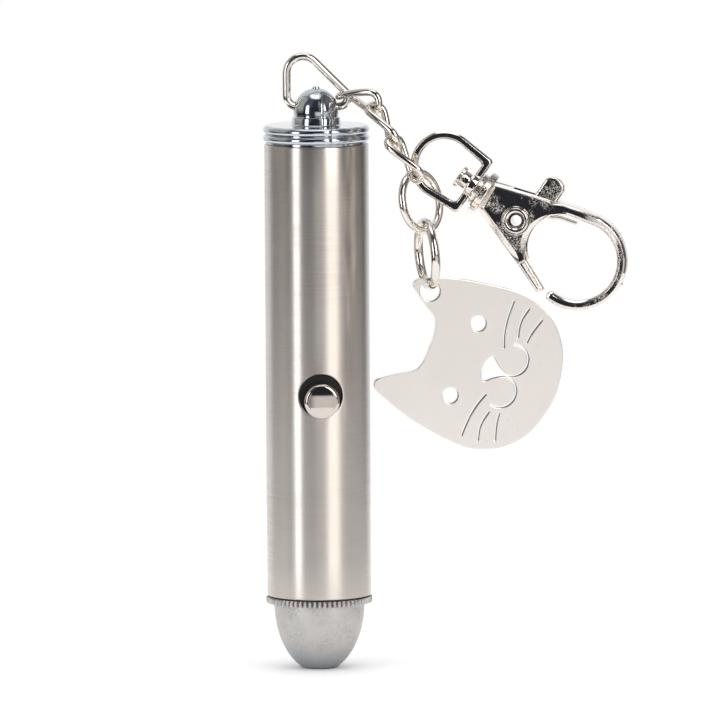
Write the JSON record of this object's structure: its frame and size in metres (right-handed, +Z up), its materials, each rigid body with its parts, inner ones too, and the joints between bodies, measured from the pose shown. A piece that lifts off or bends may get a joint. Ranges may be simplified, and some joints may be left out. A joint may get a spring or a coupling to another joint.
{
  "type": "cat laser pointer",
  "caption": "Key-chain laser pointer for playing with cats: brushed steel barrel with push button, screwed nose and rear cap, short chain, cat-face charm and swivel clasp.",
  "frame": {"origin": "centre of the flat ring at the nose tip, on the barrel axis", "axes": "+Z up the barrel axis to the rear cap, -Y out of the push button, +X to the side where the chain hangs"},
  "size_m": [0.0483, 0.021, 0.0832],
  "materials": {
    "brushed_steel": "fine brushed, satin, warm grey",
    "cast_nose": "satin cast grey",
    "black_rubber": "matt",
    "brass": "turned",
    "clear_lens": "clear",
    "spring_steel": "drawn wire",
    "gilt_can": "gilt",
    "black_plastic": "moulded",
    "green_board": "solder mask",
    "chrome": "polished plating",
    "sleeve_plastic": "rolled card-like film",
    "cell_steel": "bright can",
    "nickel_wire": "warm nickel plating",
    "satin_plate": "satin plate",
    "nickel_cast": "warm nickel plating"
  },
  "bodies": {
    "barrel": {"barrel_tube": "brushed_steel", "lens_nut": "brass", "collimating_lens": "clear_lens", "lens_spring": "spring_steel", "module_housing": "brass", "laser_diode": "gilt_can", "module_carrier": "black_plastic", "circuit_board": "green_board", "board_components": "black_plastic", "switch_body": "black_plastic", "board_contact": "brass", "battery_sleeve": "sleeve_plastic", "front_cell": "cell_steel", "middle_cell": "cell_steel", "rear_cell": "cell_steel"},
    "button": {"push_button": "chrome", "switch_plunger": "black_plastic"},
    "gasket": {"nose_gasket": "black_rubber"},
    "nose": {"nose_cap": "cast_nose"},
    "spring": {"contact_spring": "spring_steel"},
    "cap": {"rear_cap": "chrome"},
    "bail": {"triangle_ring": "nickel_wire"},
    "link_one": {"first_link": "nickel_wire"},
    "link_two": {"second_link": "nickel_wire"},
    "link_three": {"third_link": "nickel_wire"},
    "ring": {"jump_ring": "nickel_wire"},
    "charm_loop": {"charm_ring": "nickel_wire"},
    "charm": {"cat_charm": "satin_plate"},
    "eye": {"swivel_eye": "nickel_cast"},
    "claw": {"clasp_claw": "nickel_cast", "clasp_rivet": "nickel_cast", "gate_spring": "spring_steel"},
    "gate": {"gate_lever": "nickel_cast"}
  },
  "joints": [
    {"name": "button_press", "type": "slide", "parent": "barrel", "child": "button", "axis": [0, 1, 0], "range_m": [0, 0.0005], "stiffness_N_per_m": 4000},
    {"name": "nose_travel", "type": "slide", "parent": "barrel", "child": "gasket", "axis": [0, 0, -1], "range_m": [0, 0.004]},
    {"name": "nose_turn", "type": "hinge", "parent": "gasket", "child": "nose", "pos_m": [0, 0, 0], "axis": [0, 0, -1], "range_deg": [0, 1440]},
    {"name": "cap_travel", "type": "slide", "parent": "barrel", "child": "spring", "axis": [0, 0, 1], "range_m": [0, 0.004]},
    {"name": "cap_turn", "type": "hinge", "parent": "spring", "child": "cap", "pos_m": [0, 0, 0.0725], "axis": [0, 0, 1], "range_deg": [0, 1440]},
    {"name": "bail_swing", "type": "hinge", "parent": "cap", "child": "bail", "pos_m": [0, 0, 0.07585], "axis": [1, 0, 0], "range_deg": [-45, 10]},
    {"name": "first_link_swing", "type": "hinge", "parent": "bail", "child": "link_one", "pos_m": [0.00425, 0, 0.07705], "axis": [0, 0, 1], "range_deg": [-30, 30]},
    {"name": "second_link_swing", "type": "hinge", "parent": "link_one", "child": "link_two", "pos_m": [0.00784, -0.00355, 0.07546], "axis": [0.3647, -0.7662, 0.5291], "range_deg": [-30, 30]},
    {"name": "third_link_swing", "type": "hinge", "parent": "link_two", "child": "link_three", "pos_m": [0.01019, -0.0066, 0.07121], "axis": [0.3014, -0.6879, 0.6603], "range_deg": [-30, 30]},
    {"name": "jump_ring_swing", "type": "hinge", "parent": "link_three", "child": "ring", "pos_m": [0.01279, -0.00703, 0.06645], "axis": [0.5154, -0.8189, -0.2524], "range_deg": [-20, 1.5]},
    {"name": "charm_ring_swing", "type": "hinge", "parent": "ring", "child": "charm_loop", "pos_m": [0.01378, -0.00841, 0.0597], "axis": [0.6685, 0.7345, -0.1168], "range_deg": [-3, 13]},
    {"name": "charm_swing", "type": "hinge", "parent": "charm_loop", "child": "charm", "pos_m": [0.01465, -0.0098, 0.05244], "axis": [0.1814, -0.9675, 0.1765], "range_deg": [-40, 3]},
    {"name": "swivel_eye_swing", "type": "hinge", "parent": "ring", "child": "eye", "pos_m": [0.01466, -0.00533, 0.06672], "axis": [-0.6088, -0.5248, 0.5949], "range_deg": [-3, 5]},
    {"name": "claw_swivel", "type": "hinge", "parent": "eye", "child": "claw", "pos_m": [0.0193, -0.00635, 0.0665], "axis": [0.8002, -0.1555, -0.5793], "continuous": true},
    {"name": "gate_open", "type": "hinge", "parent": "claw", "child": "gate", "pos_m": [0.02646, -0.00774, 0.06107], "axis": [-0.1908, -0.9816, 0], "range_deg": [0, 35], "stiffness_Nm_per_rad": 0.02, "springref_deg": -17.19, "deforming": ["gate_spring"]}
  ],
  "couplings": [
    {"joint": "nose_turn", "follows": "nose_travel", "rad_per_m": 6283.2},
    {"joint": "cap_turn", "follows": "cap_travel", "rad_per_m": 6283.2}
  ]
}
